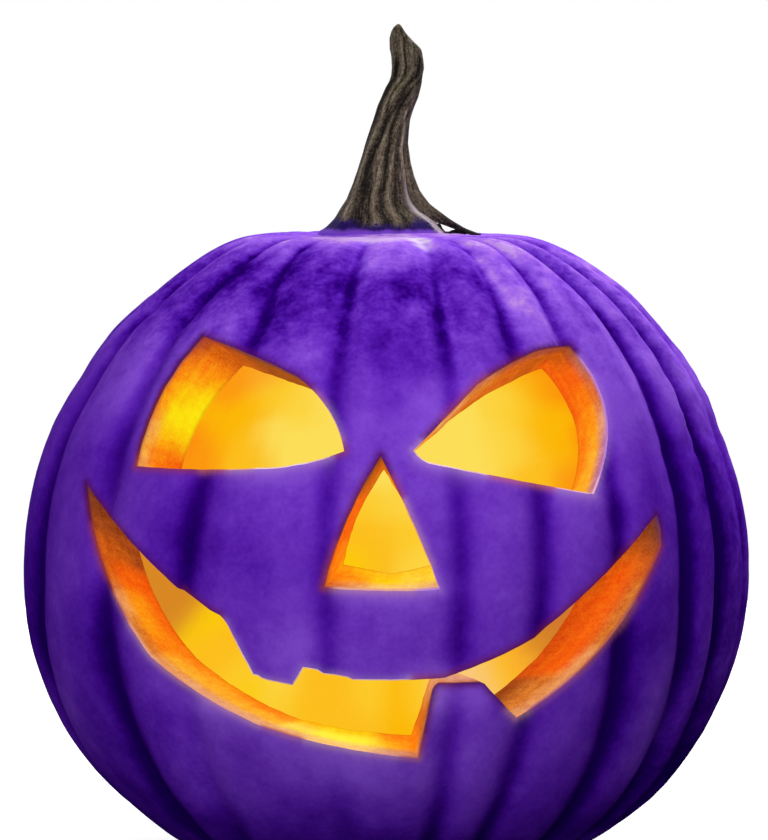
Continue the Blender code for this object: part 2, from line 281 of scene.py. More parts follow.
class Stuff:
    """A socket of a material, so that a finish is written as sums."""

    def __init__(self, tree, socket):
        self.tree = tree
        self.socket = socket

    def node(self, kind, settings=None, sockets=None, out=0):
        """Any node: its settings first, then the values or links of its sockets."""
        made = self.tree.nodes.new(kind)
        for name, setting in (settings or {}).items():
            if name == "stops":
                for stop in setting[2:]:
                    made.color_ramp.elements.new(stop[0])
                for element, (place, colour) in zip(made.color_ramp.elements, setting):
                    element.position = place
                    element.color = colour
            else:
                setattr(made, name, setting)
        for name, given in (sockets or {}).items():
            if isinstance(given, Stuff):
                self.tree.links.new(given.socket, made.inputs[name])
            else:
                made.inputs[name].default_value = given
        return Stuff(self.tree, made.outputs[out])

    def math(self, how, *others):
        sockets = {i: given for i, given in enumerate((self,) + others)}
        return self.node("ShaderNodeMath", {"operation": how}, sockets)

    def __add__(self, other):
        return self.math("ADD", other)

    __radd__ = __add__

    def __mul__(self, other):
        return self.math("MULTIPLY", other)

    __rmul__ = __mul__

    def __sub__(self, other):
        return self.math("SUBTRACT", other)

    def __rsub__(self, other):
        return (self * -1.0).math("ADD", other)

    def clear(self):
        return self.node("ShaderNodeClamp", {}, {"Value": self})

    def between(self, low, high):
        """0 below low, 1 above high, and a soft step between."""
        settings = {"interpolation_type": "SMOOTHSTEP"}
        return self.node("ShaderNodeMapRange", settings, {"Value": self, "From Min": low, "From Max": high})

    def mix(self, first, second):
        """Two colours, mixed by this socket."""
        sockets = {FACTOR: self, FIRST: first, SECOND: second}
        return self.node("ShaderNodeMix", {"data_type": "RGBA"}, sockets, MIXED)


def light_of(red, green, blue):
    """A paint colour as a shader takes it."""
    made = []
    for share in (red / 255, green / 255, blue / 255):
        made.append(share / 12.92 if share <= 0.04045 else ((share + 0.055) / 1.055) ** 2.4)
    return (*made, 1.0)


def shades(*rows):
    """Stops of a colour ramp: the place of each, then its red, green and blue."""
    return {"stops": tuple((row[0], light_of(*row[1:])) for row in rows)}


def start_finish(name):
    """A new material: its place on the piece, and its shader."""
    made = bpy.data.materials.new(name)
    made.use_nodes = True
    tree = made.node_tree
    shader = tree.nodes["Principled BSDF"]
    place = tree.nodes.new("ShaderNodeTexCoord")
    return made, Stuff(tree, place.outputs["Object"]), shader


def give(shader, **sockets):
    """Values and links for the shader's sockets."""
    for name, given in sockets.items():
        name = name.replace("_", " ")
        if isinstance(given, Stuff):
            given.tree.links.new(given.socket, shader.inputs[name])
        else:
            shader.inputs[name].default_value = given


# =============================================================================== shape of the skin
def smooth(low, high, value):
    """0 below low, 1 above high, and a soft step between."""
    t = np.clip((value - low) / (high - low), 0, 1)
    return t * t * (3 - 2 * t)


def groove_turn(groove, up):
    """Where a groove runs, at a height above the belt."""
    at, below, above, swing = groove[:4]
    return at + np.where(up < 0, below, above) * up / 100 + swing * smooth(100, 135, up)


def rib_shape(turn, up):
    """How far the skin stands out in millimetres, and how much of a groove's painted shade lies on it."""
    out = np.zeros_like(turn)
    shade = np.zeros_like(turn)
    rising = smooth(-55, -15, up)
    for here, after in zip(GROOVES, GROOVES[1:] + GROOVES[:1]):
        start = groove_turn(here, up)
        span = (groove_turn(after, up) - start) % 360
        along = ((turn - start) % 360) / span
        out = np.where(along < 1, SWELL * np.sin(np.pi * np.clip(along, 0, 1)), out)
    for groove in GROOVES:
        deep, wide, soft, low_dark, high_dark = groove[4:]
        aside = np.radians((turn - groove_turn(groove, up) + 180) % 360 - 180) * HALF_WIDTH
        out -= deep * np.exp(-((aside / wide) ** 2))
        dark = low_dark + (high_dark - low_dark) * rising
        # the painted shade is narrower high up in front
        if abs(groove[0]) < 40:
            soft = soft * (1 - 0.3 * smooth(90, 125, up))
        # on the right the painted shade reaches further right of the groove than left of it, as light from
        # the right would leave it
        if 50 < groove[0] < 75:
            soft = np.where(aside > 0, soft * (1 + 0.25 * smooth(20, 80, up)), soft * 0.7)
        shade = np.maximum(shade, dark * np.exp(-((aside / soft) ** 2)))
    return out, shade


def skin(turn, latitude):
    """Points of the outer skin in millimetres; turn 0 faces the front."""
    c = np.cos(latitude)
    s = np.sin(latitude)
    a = np.radians(turn)
    high = s >= 0
    radius = np.where(high, HALF_WIDTH * c, HALF_WIDTH * np.abs(c) ** (2 / UNDER_CURVE))
    up = np.where(high, UPPER * s, -LOWER * np.abs(s) ** (2 / UNDER_CURVE))
    up -= np.where(high, PIT * np.exp(-((radius / PIT_WIDTH) ** 2)), 0)
    up += np.where(high, SHOULDER * np.exp(-(((radius - SHOULDER_AT) / SHOULDER_WIDTH) ** 2)), 0)
    climb = COLLAR * np.exp(-((np.maximum(radius - COLLAR_AT, 0) / COLLAR_WIDTH) ** 2))
    up += np.where(high, climb, 0)
    keep = np.where(high, smooth(*RIBS_ABOVE, radius), smooth(*RIBS_BELOW, radius))
    out, _ = rib_shape(turn, up)
    flank = np.array(FLANKS)
    left = np.interp(up + BELT, flank[:, 0], flank[:, 1]) * np.maximum(-np.sin(a), 0) ** 2
    right = np.interp(up + BELT, flank[:, 0], flank[:, 2]) * np.maximum(np.sin(a), 0) ** 2
    out = out * keep + (left + right) * smooth(*FLANKS_IN, radius)
    radius = radius + out * c
    up = np.maximum(up + out * s, -BELT)
    return np.stack([radius * np.sin(a) + LEAN * up, -radius * np.cos(a), up + BELT], axis=1)


def girth(height, inset):
    """Radius of the skin, or of the hollow inside it, at a height."""
    up = height - BELT
    if inset:
        top, bottom, curve = HOLLOW_UPPER, HOLLOW_LOWER, HOLLOW_CURVE
    else:
        top, bottom, curve = UPPER, LOWER, 2.0
    if up >= 0:
        return (HALF_WIDTH - inset) * max(1 - (up / top) ** curve, 0) ** (1 / curve)
    return (HALF_WIDTH - inset) * max(1 - (-up / bottom) ** UNDER_CURVE, 0) ** (1 / UNDER_CURVE)


def front_at(across, height, inset):
    """Depth of the skin or of the hollow's wall straight behind a point in front."""
    x = across - LEAN * (height - BELT)
    return -math.sqrt(max(girth(height, inset) ** 2 - x ** 2, 25.0))


# =============================================================================== working by hand
def pick_nothing():
    bpy.ops.object.select_all(action="DESELECT")


def work_on(piece):
    """Select one piece alone."""
    pick_nothing()
    piece.select_set(True)
    bpy.context.view_layer.objects.active = piece


def settle(piece):
    """Put the piece's place into its mesh."""
    work_on(piece)
    bpy.ops.object.transform_apply(location=True, rotation=True, scale=True)


def places(piece):
    """The piece's points, a row for each."""
    found = np.empty(len(piece.data.vertices) * 3)
    piece.data.vertices.foreach_get("co", found)
    return found.reshape(-1, 3)


def put(piece, points):
    piece.data.vertices.foreach_set("co", np.asarray(points, float).ravel())
    piece.data.update()


def paint_points(piece, name, values):
    """A number for each point of the mesh, for its finish to read."""
    layer = piece.data.attributes.new(name, "FLOAT", "POINT")
    layer.data.foreach_set("value", np.asarray(values, np.float32))


def paint_colours(piece, name, colours):
    """The same for a colour."""
    layer = piece.data.attributes.new(name, "FLOAT_COLOR", "POINT")
    values = np.ones((len(colours), 4), np.float32)
    values[:, :3] = colours
    layer.data.foreach_set("color", values.ravel())


def cut_away(piece, tool):
    """Take a tool's shape out of the piece; what is cut keeps the tool's finish."""
    step = piece.modifiers.new("step", "BOOLEAN")
    step.operation = "DIFFERENCE"
    step.solver = "EXACT"
    step.material_mode = "TRANSFER"
    step.object = tool
    work_on(piece)
    bpy.ops.object.modifier_apply(modifier=step.name)
    bpy.data.objects.remove(tool, do_unlink=True)


def nearest(points):
    """A tree that finds the nearest of these points."""
    tree = kdtree.KDTree(len(points))
    for i, point in enumerate(points):
        tree.insert(point, i)
    tree.balance()
    return tree


def faces_out(piece):
    """Turn every face outwards."""
    work_on(piece)
    bpy.ops.object.mode_set(mode="EDIT")
    bpy.ops.mesh.select_all(action="SELECT")
    bpy.ops.mesh.normals_make_consistent(inside=False)
    bpy.ops.object.mode_set(mode="OBJECT")


# =============================================================================== camera
# It stands a metre and a half in front, level with the stem, and looks down 5 degrees.
CAMERA_PLACE = (-0.0008, -1.4943, 0.3187)
bpy.ops.object.camera_add(location=CAMERA_PLACE, rotation=(math.radians(85), 0, 0))
camera = bpy.context.active_object
camera.name = "camera"
camera.data.lens = 155.66
camera.data.sensor_width = 36.0
camera.data.clip_start = 0.05
camera.data.clip_end = 30.0
bpy.context.scene.camera = camera


# =============================================================================== the body
def make_body():
    """The whole skin: a ball whose points move out to the grown shape."""
    pick_nothing()
    bpy.ops.mesh.primitive_uv_sphere_add(
        segments=COLUMNS, ring_count=ROWS, radius=HALF_WIDTH * MM, location=(0, 0, BELT * MM)
    )
    body = bpy.context.active_object
    body.name = body.data.name = "carved_pumpkin"
    way = places(body)
    spread = np.arctan2(way[:, 0], -way[:, 1])
    turn = np.degrees(spread - CROWDING * np.sin(spread))
    latitude = np.arcsin(np.clip(way[:, 2] / (HALF_WIDTH * MM), -1, 1))
    settle(body)
    put(body, uneven(skin(turn, latitude)) * MM)
    return body


def uneven(points):
    """Small swellings and dents of a grown skin."""
    made = points.copy()
    across, high, wide, tall = CHEEK_BUMPS
    for i, p in enumerate(points):
        v = Vector(p)
        slow = noise.noise(v * 0.021) + 0.5 * noise.noise(v * 0.06 + Vector((7, 3, 1)))
        fast = noise.noise(v * 0.17 + Vector((1, 9, 4)))
        out = 0.4 * slow + 0.12 * fast - 0.2
        bumpy = math.exp(-((p[0] - across) / wide) ** 2 - ((p[2] - high) / tall) ** 2)
        if p[1] < 0 and bumpy > 0.02:
            out += bumpy * 1.2 * (noise.noise(v * 0.14 + Vector((2, 2, 2))) - 0.4)
        away = Vector((p[0], p[1], p[2] - BELT)).normalized()
        made[i] = v + away * out * min(p[2] / 12, 1)
    return made


# =============================================================================== the knife
def edge_points(corners):
    """Walk a cut's edge: a point on the skin, one at the hollow, and the side away from the hole."""
    walk = []
    for first, second in zip(corners, corners[1:] + corners[:1]):
        right, rise = second[0] - first[0], second[1] - first[1]
        length = math.hypot(right, rise)
        count = max(1, round(length / EDGE_STEP))
        for i in range(count):
            t = i / count
            x, z, lean_x, lean_z = (a + (b - a) * t for a, b in zip(first[:4], second[:4]))
            sag = 4 * t * (1 - t) * first[4] / length
            x -= rise * sag
            z += right * sag
            outer = Vector((x, front_at(x, z, 0), z))
            x += lean_x
            z += lean_z
            inner = Vector((x, front_at(x, z, WALL), z))
            walk.append((outer, inner))
    area = 0
    for (a, _), (b, _) in zip(walk, walk[1:] + walk[:1]):
        area += a.x * b.z - b.x * a.z
    turned = 1 if area < 0 else -1
    made = []
    for i, (outer, inner) in enumerate(walk):
        before = walk[i - 1][0]
        after = walk[(i + 1) % len(walk)][0]
        side = Vector((-(after.z - before.z), 0, after.x - before.x)).normalized() * turned
        made.append((outer, inner, side))
    return made


def bevel_at(across, height):
    """The rind breaks off further where its edge is painted pale with light."""
    name = min(RIM_LIGHT, key=lambda row: math.hypot(row[0] - across, row[1] - height))[2]
    return BEVEL * (0.7 + 0.7 * glow_of(name))


def cut_through(corners, body_tree):
    """Rings of points round one cut, from outside the skin to inside the hollow, its rim and its wall."""
    rings = [[] for _ in range(WALL_RINGS + 4)]
    rim = []
    cut_wall = []
    for i, (outer, inner, side) in enumerate(edge_points(corners)):
        shake = noise.noise(Vector((outer.x * 0.19, outer.z * 0.19, 11.0))) * SHAKE
        outer = outer + side * shake
        sight = (outer * MM - Vector(CAMERA_PLACE)).normalized()
        hit = body_tree.ray_cast(Vector(CAMERA_PLACE), sight)[0] / MM
        knife = (inner - hit).normalized()
        through = (inner - hit).length
        rim.append((hit, side))
        broken = side * bevel_at(hit.x, hit.z)
        rings[0].append(hit - knife * PLUG_OUT + broken)
        rings[1].append(hit - knife * 0.5 + broken)
        rings[2].append(hit + knife * BEVEL_DEEP)
        for k in range(1, WALL_RINGS + 1):
            share = k / WALL_RINGS
            stroke = noise.noise(Vector((hit.x * 0.09, hit.z * 0.09, 3.0))) * 0.5
            stroke += noise.noise(Vector((hit.x * 0.45, hit.z * 0.45, share * 1.5))) * 0.25
            rings[2 + k].append(hit + knife * through * share + side * stroke * smooth(0, 0.4, share))
            cut_wall.append((rings[2 + k][-1], share, hit.x, hit.z, i * EDGE_STEP))
        cut_wall.append((hit, 0.0, hit.x, hit.z, i * EDGE_STEP))
        rings[-1].append(hit + knife * (through + PLUG_IN))
    return rings, rim, cut_wall


def make_plug(name, rings, finishes):
    """A plug the shape of one cut: a face drawn out from ring to ring."""
    pick_nothing()
    bpy.ops.mesh.primitive_circle_add(vertices=len(rings[0]), radius=0.1, fill_type="NOTHING")
    plug = bpy.context.active_object
    plug.name = name
    put(plug, [(p.x * MM, -0.2, p.z * MM) for p in rings[0]])
    order = plug.data.attributes.new("order", "INT", "POINT")
    order.data.foreach_set("value", np.arange(len(rings[0]), dtype=np.int32))
    plug.data.attributes.new("ring", "INT", "POINT")
    for finish in finishes:
        plug.data.materials.append(finish)
    bpy.ops.object.mode_set(mode="EDIT")
    bpy.ops.mesh.select_all(action="SELECT")
    bpy.ops.mesh.edge_face_add()
    bpy.ops.mesh.quads_convert_to_tris(ngon_method="BEAUTY")
    for k, ring in enumerate(rings):
        if k:
            bpy.ops.mesh.extrude_region_move()
        shape = bmesh.from_edit_mesh(plug.data)
        which = shape.verts.layers.int["order"]
        level = shape.verts.layers.int["ring"]
        for v in shape.verts:
            if v.select:
                v.co = ring[v[which]] * MM
                v[level] = k
        bmesh.update_edit_mesh(plug.data)
    shape = bmesh.from_edit_mesh(plug.data)
    level = shape.verts.layers.int["ring"]
    for f in shape.faces:
        f.material_index = 0 if min(v[level] for v in f.verts) <= 1 else 1
    bmesh.update_edit_mesh(plug.data)
    bpy.ops.mesh.select_all(action="SELECT")
    bpy.ops.mesh.normals_make_consistent(inside=False)
    bpy.ops.object.mode_set(mode="OBJECT")
    return plug


def make_hollow(finish):
    """The scraped inside, as a solid to take away."""
    pick_nothing()
    bpy.ops.mesh.primitive_uv_sphere_add(
        segments=HOLLOW_COLUMNS, ring_count=HOLLOW_ROWS, radius=(HALF_WIDTH - WALL) * MM,
        location=(0, 0, BELT * MM)
    )
    hollow = bpy.context.active_object
    hollow.name = "hollow"
    way = places(hollow) / ((HALF_WIDTH - WALL) * MM)
    settle(hollow)
    points = []
    for x, y, z in way:
        a = math.atan2(x, -y)
        c = math.hypot(x, y)
        curve = HOLLOW_CURVE if z >= 0 else UNDER_CURVE
        radius = (HALF_WIDTH - WALL) * c ** (2 / curve)
        up = (HOLLOW_UPPER if z >= 0 else -HOLLOW_LOWER) * abs(z) ** (2 / curve)
        up = max(up, FLOOR - BELT)
        scrape = noise.noise(Vector((a * 4, z * 2.5, 0))) * 0.9
        scrape += noise.noise(Vector((a * 16, z * 7, 5))) * 0.35
        radius -= abs(scrape) * smooth(10, 60, radius)
        points.append((radius * math.sin(a) + LEAN * up, -radius * math.cos(a), up + BELT))
    put(hollow, np.array(points) * MM)
    hollow.data.materials.append(finish)
    return hollow


def split_near_edges(body, rims):
    """Finer faces of the skin close to the cuts."""
    near = nearest([point * MM for rim in rims for point, _ in rim])
    work_on(body)
    bpy.ops.object.mode_set(mode="EDIT")
    bpy.ops.mesh.select_all(action="DESELECT")
    bpy.ops.mesh.select_mode(type="FACE")
    shape = bmesh.from_edit_mesh(body.data)
    for f in shape.faces:
        middle = f.calc_center_median()
        if middle.y < 0 and near.find(middle)[2] < FINE_REACH:
            f.select = True
    bmesh.update_edit_mesh(body.data)
    bpy.ops.mesh.subdivide(number_cuts=1)
    bpy.ops.object.mode_set(mode="OBJECT")


# =============================================================================== finishes
def mark(place, name, kind=AS_NUMBER):
    """A number or colour laid on the points of the piece."""
    return place.node("ShaderNodeAttribute", {"attribute_name": name}, out=kind)


def grain(place, scale, detail=3.0, rough=0.5):
    """Even noise; scale is how fine it is."""
    sockets = {"Vector": place, "Scale": scale, "Detail": detail, "Roughness": rough}
    return place.node("ShaderNodeTexNoise", {}, sockets)


def stretched(place, x, y, z):
    """The same place, stretched along its three ways."""
    return place.node("ShaderNodeMapping", {}, {"Vector": place, "Scale": (x, y, z)})


def bumped(height, strength, distance):
    return height.node("ShaderNodeBump", {}, {"Height": height, "Strength": strength, "Distance": distance})


PALEST = 1.4                    # the tone at which the skin is palest


def skin_finish():
    """Violet skin: mottled along its ribs, dark in its grooves, with painted light and shade laid over it,
    lit and stained beside the cuts by painted glow, painted shade and the rind's dark line.
    """
    made, place, shader = start_finish("violet_skin")
    groove = mark(place, "groove")
    halo = mark(place, "halo")
    edge = mark(place, "edge")
    rim = mark(place, "rim_light", AS_COLOUR)
    blotch = grain(place, 48.0, 5.0, 0.6)
    ways = {"X": mark(place, "side"), "Y": mark(place, "front"), "Z": mark(place, "run")}
    flow = place.node("ShaderNodeCombineXYZ", {}, ways)
    streak = grain(stretched(flow, 10, 10, 4), 1.0, 3.0, 0.5)
    fleck = grain(place, 520.0, 3.0, 0.55)
    lump = grain(place, 150.0, 3.0, 0.55)
    uneven_tone = (blotch - 0.5) * 0.95 + (streak - 0.5) * 0.35
    uneven_tone = uneven_tone + (fleck - 0.5) * 0.35 + (lump - 0.5) * 0.34
    # the grooves' painted shade, mottled
    dark = groove + (streak - 0.5) * 0.6 * groove + (blotch - 0.5) * 0.6 * groove
    # the listed painted light and shade, with random mottling, less the grooves' painted shade
    tone = mark(place, "tone") + uneven_tone * mark(place, "rough") - dark * 0.5
    tone = tone + (lump - 0.5) * (mark(place, "lumpy") - 0.5) * 0.15
    # the ramp runs from the deepest painted shade to the palest painted light
    base = tone.node(
        "ShaderNodeValToRGB",
        shades(
            (0.0, 38, 0, 112), (0.11, 58, 2, 144), (0.22, 83, 20, 178), (0.33, 104, 38, 202),
            (0.45, 125, 60, 220), (0.58, 146, 84, 238), (0.72, 166, 104, 254), (0.86, 190, 128, 255),
            (1.0, 216, 168, 255),
        ),
        {"Fac": tone * (1 / PALEST)},
    )
    # the painted white highlight round the stem's foot
    base = mark(place, "frost").mix(base, light_of(252, 246, 255))
    # painted glow from the cuts on the skin below them
    base = halo.mix(base, light_of(190, 130, 246))
    # the rim's dark line, painted shade and painted glow, spread onto the skin
    base = edge.mix(base, rim)
    relief = (blotch * 0.35 + streak * 0.15 + lump * 0.4 + fleck * 0.1) * mark(place, "lumpy")
    # the rim's colour beside the cuts also glows: painted glow
    give(shader, Base_Color=base, Roughness=0.65, Specular_IOR_Level=0.0,
         Normal=bumped(relief, 0.5, 0.0022),
         Emission_Color=edge.mix((0, 0, 0, 1), rim), Emission_Strength=0.4)
    return made


def rind_finish():
    """The broken edge of the skin round a cut: its dark line, with painted glow and shade."""
    made, place, shader = start_finish("cut_rind")
    rim = mark(place, "rim_light", AS_COLOUR)
    give(shader, Base_Color=rim, Roughness=0.5, Emission_Color=rim, Emission_Strength=0.36)
    return made


def roughened(lit, speckle, dark, pale, much):
    """A lit colour with a speckle laid over it."""
    over = (speckle + 0.5).clear().mix(dark, pale)
    settings = {"data_type": "RGBA", "blend_type": "SOFT_LIGHT"}
    return lit.node("ShaderNodeMix", settings, {FACTOR: much, FIRST: lit, SECOND: over}, MIXED)


def flesh_finish():
    """Cut flesh lit from inside: fibres that run through the wall, specks, a brown line where it ends."""
    made, place, shader = start_finish("lit_flesh")
    lit = mark(place, "wall_light", AS_COLOUR)
    depth = mark(place, "depth")
    along = mark(place, "along")
    flow = place.node("ShaderNodeCombineXYZ", {}, {"X": along, "Y": depth})
    fibre = grain(stretched(flow, 0.36, 2.2, 1.0), 1.0, 4.0, 0.6)
    stroke = grain(stretched(flow, 0.05, 9.0, 1.0), 1.0, 3.0, 0.55)
    coarse = grain(place, 240.0, 4.0, 0.6)
    fine = grain(place, 1300.0, 2.0, 0.5)
    speckle = (fibre - 0.5) * 0.8 + (stroke - 0.5) * 0.6 + (coarse - 0.5) * 0.9 + (fine - 0.5) * 1.1
    glow = roughened(lit, speckle, light_of(70, 30, 14), light_of(255, 226, 186), 0.85)
    inner = depth.between(0.93, 1.0) * 0.3
    glow = inner.mix(glow, light_of(170, 70, 6))
    outer = depth.between(0.12, 0.0) * 0.5
    glow = outer.mix(glow, mark(place, "rim_light", AS_COLOUR))
    give(shader, Base_Color=light_of(70, 34, 8), Roughness=0.6, Emission_Color=glow, Emission_Strength=0.95,
         Specular_IOR_Level=0.2, Normal=bumped(coarse * 0.7 + fine * 0.3, 0.5, 0.0012))
    return made


def hollow_finish():
    """The scraped inside, lit all over."""
    made, place, shader = start_finish("glowing_hollow")
    lit = mark(place, "hollow_light", AS_COLOUR)
    haze = grain(place, 45.0, 3.0, 0.5)
    fine = grain(place, 700.0, 2.0, 0.5)
    speckle = (haze - 0.5) * 0.4 + (fine - 0.5) * 0.7
    glow = roughened(lit, speckle, light_of(110, 80, 20), light_of(200, 180, 120), 0.3)
    give(shader, Base_Color=light_of(60, 36, 6), Roughness=0.8, Specular_IOR_Level=0.0,
         Emission_Color=glow, Emission_Strength=0.98)
    return made


def stem_finish():
    """Dry ridged wood: pale along the ridges and nearly black in the cracks, partly its own colour and partly
    painted highlight and shade, violet at its foot.
    """
    made, place, shader = start_finish("dry_stem")
    ridge = mark(place, "ridge")
    flow = place.node("ShaderNodeCombineXYZ", {}, {"X": mark(place, "around"), "Y": mark(place, "along")})
    fibre = grain(stretched(flow, 9.0, 0.07, 1.0), 1.0, 5.0, 0.65)
    fine = grain(stretched(flow, 30.0, 0.22, 1.0), 1.0, 3.0, 0.6)
    speck = grain(place, 900.0, 2.0, 0.6)
    # ridges painted paler and cracks darker: the wood's own colour with painted highlight and shade
    tone = ridge * 0.32 + (fibre - 0.5) * 0.9 + (fine - 0.5) * 0.8 + (speck - 0.5) * 0.8 + 0.4
    base = tone.node(
        "ShaderNodeValToRGB",
        shades(
            (0.0, 14, 10, 5), (0.22, 46, 38, 28), (0.5, 112, 100, 80), (0.78, 166, 150, 126),
            (1.0, 224, 206, 194),
        ),
        {"Fac": tone},
    )
    # a painted white-pink highlight low on the stem's right side
    base = mark(place, "blush").mix(base, light_of(255, 238, 242))
    foot = mark(place, "foot")
    torn = (fibre - 0.5) * 0.5 + (speck - 0.5) * 2.4
    ragged = (foot + torn * (foot * (1.0 - foot) * 4.0)).between(0.05, 0.95)
    # the violet at the foot: dark indigo up by the bark, and paler lower down as painted light
    violet = (grain(place, 150.0, 3.0, 0.6) * 0.9 + mark(place, "low") * 0.6 - 0.2).between(0.3, 0.85)
    violet = violet.mix(light_of(34, 0, 96), light_of(138, 76, 226))
    base = ragged.mix(base, violet)
    give(shader, Base_Color=base, Roughness=0.78, Specular_IOR_Level=0.25,
         Normal=bumped(fibre * 0.55 + fine * 0.3 + speck * 0.15, 0.9, 0.0013))
    return made


skin_made = skin_finish()
rind_made = rind_finish()
flesh_made = flesh_finish()
hollow_made = hollow_finish()
stem_made = stem_finish()

# =============================================================================== paints, and where they lie
PAINTS = {
    "shadow": (110, 56, 30),
    "umber": (142, 68, 30),
    "bark": (166, 78, 25),
    "rust": (190, 92, 22),
    "copper": (206, 100, 28),
    "brick": (215, 84, 15),
    "flame": (242, 100, 12),
    "orange": (249, 134, 16),
    "amber": (250, 158, 20),
    "marigold": (249, 180, 52),
    "brass": (215, 142, 42),
    "gold": (250, 190, 8),
    "honey": (250, 196, 35),
    "sunny": (250, 208, 8),
    "sun": (250, 232, 12),
    "yellow": (250, 208, 50),
    "butter": (250, 216, 74),
    "pale": (250, 226, 100),
    "lemon": (250, 244, 76),
    "cream": (248, 206, 136),
    "peach": (228, 160, 112),
    "rose": (214, 158, 146),
    "mauve": (180, 122, 176),
    "tan": (208, 125, 55),
    "clay": (185, 108, 75),
    "plum": (76, 14, 84),
    "maroon": (95, 22, 62),
    "wine": (142, 52, 58),
    "russet": (206, 106, 56),
    "sand": (186, 116, 112),
    "pink": (218, 176, 200),
    "white": (236, 208, 222),
    "lilac": (176, 128, 212),
    "dusk": (108, 46, 60),
    "rosewood": (156, 80, 74),
    "heather": (155, 85, 122),
    "sandstone": (226, 168, 138),
}
# ---- how the light lies on the cut walls, along the edge of each cut: across, height of the edge,
# ---- paint near the skin, half way in, and at the hollow
WALL_LIGHT = {
    "left_eye": (
        (-71, 228, "wine", "rust", "rust"), (-65, 226, "wine", "bark", "bark"),
        (-52, 222, "dusk", "umber", "umber"), (-40, 217, "dusk", "umber", "umber"),
        (-28, 209, "dusk", "umber", "bark"), (-18, 195, "bark", "copper", "orange"),
        (-17, 189, "peach", "orange", "amber"), (-45, 181, "cream", "pale", "gold"),
        (-78, 179, "peach", "amber", "orange"), (-94, 180, "peach", "orange", "flame"),
        (-95, 187, "marigold", "orange", "flame"), (-93, 194, "peach", "gold", "sunny"),
        (-91, 200, "amber", "sun", "sun"), (-85, 211, "amber", "sunny", "sun"),
        (-80, 217, "orange", "amber", "gold"), (-76, 223, "copper", "orange", "orange"),
    ),
    "right_eye": (
        (71, 225, "umber", "rust", "flame"), (64, 224, "rosewood", "rust", "bark"),
        (52, 221, "rosewood", "copper", "copper"), (40, 215, "sand", "tan", "copper"),
        (29, 206, "sand", "peach", "tan"), (17, 194, "cream", "peach", "orange"),
        (12, 187, "cream", "butter", "amber"), (35, 180, "cream", "pale", "gold"),
        (60, 175, "peach", "marigold", "orange"), (73, 172, "rose", "marigold", "amber"),
        (81, 176, "mauve", "marigold", "amber"), (84, 188, "mauve", "marigold", "orange"),
        (85, 198, "rose", "amber", "orange"), (82, 208, "russet", "orange", "flame"),
        (77, 217, "sand", "flame", "flame"),
    ),
    "nose": (
        (-3, 184, "shadow", "bark", "rust"), (-8, 177, "bark", "rust", "copper"),
        (-13, 169, "flame", "flame", "flame"), (-18, 157, "flame", "flame", "flame"),
        (-22, 146, "flame", "orange", "orange"), (-22, 139, "copper", "orange", "amber"),
        (-14, 137, "peach", "amber", "gold"), (-2, 137, "cream", "sunny", "honey"),
        (12, 137, "cream", "butter", "yellow"), (18, 141, "rose", "butter", "yellow"),
        (9, 166, "cream", "butter", "butter"), (2, 180, "clay", "orange", "amber"),
    ),
    "mouth": (
        (-116, 166, "shadow", "shadow", "shadow"), (-114, 157, "umber", "umber", "umber"),
        (-112, 149, "copper", "rust", "umber"), (-108, 138, "copper", "flame", "flame"),
        (-103, 128, "peach", "amber", "flame"), (-98, 119, "tan", "amber", "flame"),
        (-94, 113, "tan", "orange", "orange"), (-85, 104, "peach", "marigold", "orange"),
        (-74, 97, "sandstone", "marigold", "amber"), (-63, 90, "sandstone", "marigold", "orange"),
        (-51, 85, "sandstone", "marigold", "orange"), (-38, 81, "sandstone", "pale", "gold"),
        (-24, 78, "cream", "lemon", "sunny"), (-9, 75, "cream", "lemon", "sunny"),
        (0, 73, "rose", "honey", "orange"), (6, 72, "rose", "amber", "orange"),
        (12, 74, "clay", "orange", "orange"), (14, 83, "clay", "copper", "copper"),
        (16, 94, "wine", "tan", "tan"), (19, 101, "peach", "rose", "peach"),
        (28, 101, "sand", "rose", "rose"), (37, 100, "sand", "rose", "peach"),
        (47, 90, "clay", "umber", "umber"), (51, 88, "sandstone", "tan", "umber"),
        (57, 92, "peach", "tan", "shadow"), (67, 99, "peach", "tan", "umber"),
        (78, 108, "peach", "flame", "brick"), (88, 118, "tan", "flame", "brick"),
        (96, 130, "tan", "flame", "brick"), (103, 142, "copper", "flame", "rust"),
        (106, 150, "umber", "rust", "bark"), (104, 158, "shadow", "umber", "umber"),
        (-100, 152, "shadow", "rust", "copper"), (-62, 125, "bark", "copper", "orange"),
        (-50, 103, "peach", "amber", "gold"), (-20, 104, "peach", "amber", "gold"),
        (10, 102, "peach", "amber", "gold"), (54, 116, "bark", "copper", "orange"),
        (85, 142, "shadow", "rust", "copper"),
    ),
}
